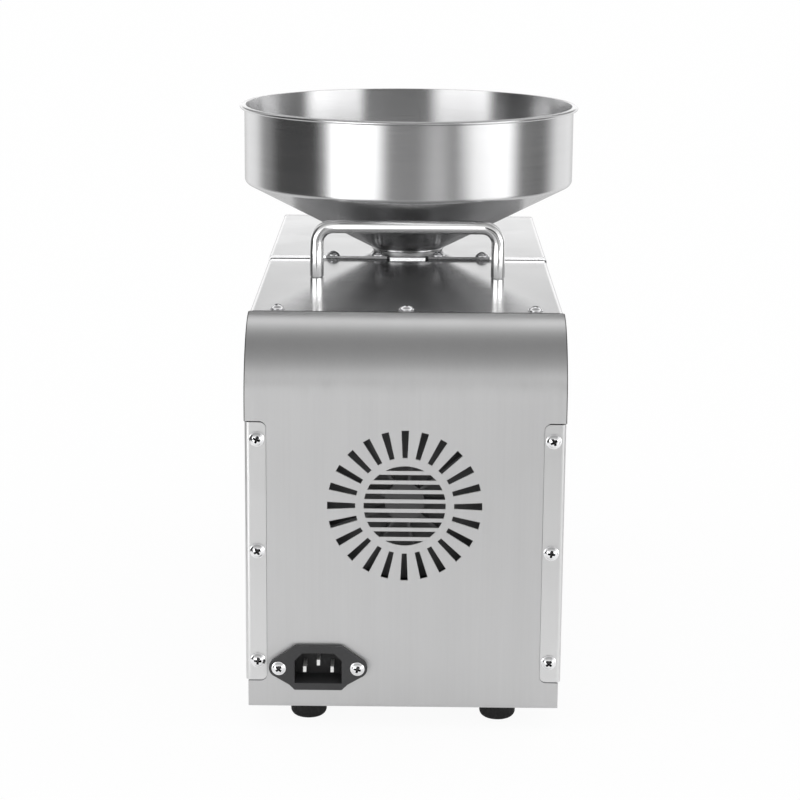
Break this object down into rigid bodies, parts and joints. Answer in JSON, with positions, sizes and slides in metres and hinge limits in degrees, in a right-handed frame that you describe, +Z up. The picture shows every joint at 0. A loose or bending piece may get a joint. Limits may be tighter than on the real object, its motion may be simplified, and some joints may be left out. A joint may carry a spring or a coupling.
{
  "type": "screw oil press",
  "caption": "Household screw oil press: steel casing on rubber feet, lift-off hopper, carry handle, motor-driven press screw in a barrel, sliding oil tray, power inlet and push-button controls.",
  "frame": {"origin": "on the bench under the middle of the overall box", "axes": "+Y from the rear panel towards the cake outlet, +Z up, +X to the right seen from behind"},
  "size_m": [0.1956, 0.4327, 0.2967],
  "materials": {
    "satin_steel": "satin brushed stainless steel",
    "polished_steel": "polished stainless steel",
    "zinc_steel": "zinc plated sheet steel",
    "machined_steel": "turned and ground steel",
    "lamination": "stacked steel laminations",
    "copper": "varnished copper winding",
    "bronze": "sintered bronze",
    "brass": "brass sheath",
    "aluminium": "die-cast aluminium",
    "cast_iron": "painted casting",
    "painted_steel": "black painted steel",
    "black_plastic": "fine satin black plastic",
    "grey_plastic": "light grey plastic",
    "rubber": "black rubber",
    "silicone": "white silicone",
    "board": "green circuit board",
    "window": "dark tinted window",
    "cable": "black cable sheath"
  },
  "bodies": {
    "casing": {"base_tray": "satin_steel", "rear_panel": "satin_steel", "rear_cover": "polished_steel", "front_cover": "polished_steel", "front_panel": "satin_steel", "corner_posts": "zinc_steel", "carry_handle": "polished_steel", "handle_nuts": "zinc_steel", "rubber_feet": "rubber", "foot_screws": "polished_steel", "cover_screws": "polished_steel", "power_inlet": "black_plastic", "inlet_pins": "polished_steel", "inlet_screws": "polished_steel", "motor_stator": "lamination", "motor_windings": "copper", "motor_rear_bell": "aluminium", "motor_front_bell": "aluminium", "motor_bearings": "machined_steel", "motor_cradle": "painted_steel", "motor_tie_bolts": "zinc_steel", "gearbox_housing": "aluminium", "gearbox_cover": "aluminium", "gearbox_bushes": "bronze", "gearbox_screws": "zinc_steel", "thrust_bearing": "machined_steel", "feed_block": "satin_steel", "press_stand": "painted_steel", "press_barrel": "satin_steel", "front_bulkhead": "zinc_steel", "port_sleeve": "satin_steel", "heater_band": "brass", "temperature_probe": "machined_steel", "tray_rails": "zinc_steel", "throat_seal": "silicone", "control_bezel": "black_plastic", "display_window": "window", "control_board": "board", "wiring_loom": "cable"},
    "hopper": {"hopper": "polished_steel"},
    "rotor": {"motor_shaft": "machined_steel", "rotor_core": "lamination", "cooling_fan": "black_plastic", "motor_pinion": "machined_steel"},
    "layshaft": {"lay_shaft": "machined_steel", "lay_gear": "machined_steel", "lay_pinion": "machined_steel"},
    "press_drive": {"output_gear": "machined_steel", "output_shaft": "machined_steel", "press_screw": "machined_steel"},
    "lock_ring": {"lock_ring": "polished_steel"},
    "outlet_nut": {"outlet_nut": "polished_steel"},
    "oil_tray": {"oil_tray": "polished_steel", "oil_strainer": "satin_steel"},
    "direction_rocker": {"direction_rocker": "black_plastic"},
    "heat_button": {"heat_button": "grey_plastic"},
    "warmer_button": {"warmer_button": "grey_plastic"},
    "cooler_button": {"cooler_button": "grey_plastic"},
    "light_button": {"light_button": "grey_plastic"}
  },
  "joints": [
    {"name": "hopper_lift", "type": "slide", "parent": "casing", "child": "hopper", "axis": [0, 0, 1], "range_m": [0, 0.12]},
    {"name": "motor_spin", "type": "hinge", "parent": "casing", "child": "rotor", "pos_m": [0, -0.06165, 0.1185], "axis": [0, 1, 0], "continuous": true},
    {"name": "lay_spin", "type": "hinge", "parent": "casing", "child": "layshaft", "pos_m": [0.03778, -0.06165, 0.11969], "axis": [0, 1, 0], "continuous": true},
    {"name": "screw_spin", "type": "hinge", "parent": "casing", "child": "press_drive", "pos_m": [0, -0.06165, 0.1505], "axis": [0, 1, 0], "continuous": true},
    {"name": "lock_ring_turn", "type": "hinge", "parent": "casing", "child": "lock_ring", "pos_m": [0, 0.17335, 0.1505], "axis": [0, 1, 0], "range_deg": [-60, 0]},
    {"name": "outlet_nut_turn", "type": "hinge", "parent": "casing", "child": "outlet_nut", "pos_m": [0, 0.19835, 0.1505], "axis": [0, 1, 0], "range_deg": [-180, 180]},
    {"name": "tray_slide", "type": "slide", "parent": "casing", "child": "oil_tray", "axis": [0, 1, 0], "range_m": [0, 0.1]},
    {"name": "rocker_tilt", "type": "hinge", "parent": "casing", "child": "direction_rocker", "pos_m": [-0.046, 0.15775, 0.062], "axis": [1, 0, 0], "range_deg": [-12, 12]},
    {"name": "heat_press", "type": "slide", "parent": "casing", "child": "heat_button", "axis": [0, -1, 0], "range_m": [0, 0.0012], "stiffness_N_per_m": 400},
    {"name": "warmer_press", "type": "slide", "parent": "casing", "child": "warmer_button", "axis": [0, -1, 0], "range_m": [0, 0.0012], "stiffness_N_per_m": 400},
    {"name": "cooler_press", "type": "slide", "parent": "casing", "child": "cooler_button", "axis": [0, -1, 0], "range_m": [0, 0.0012], "stiffness_N_per_m": 400},
    {"name": "light_press", "type": "slide", "parent": "casing", "child": "light_button", "axis": [0, -1, 0], "range_m": [0, 0.0012], "stiffness_N_per_m": 400}
  ],
  "couplings": [
    {"joint": "lay_spin", "follows": "motor_spin", "ratio": -0.2},
    {"joint": "screw_spin", "follows": "motor_spin", "ratio": 0.04}
  ]
}
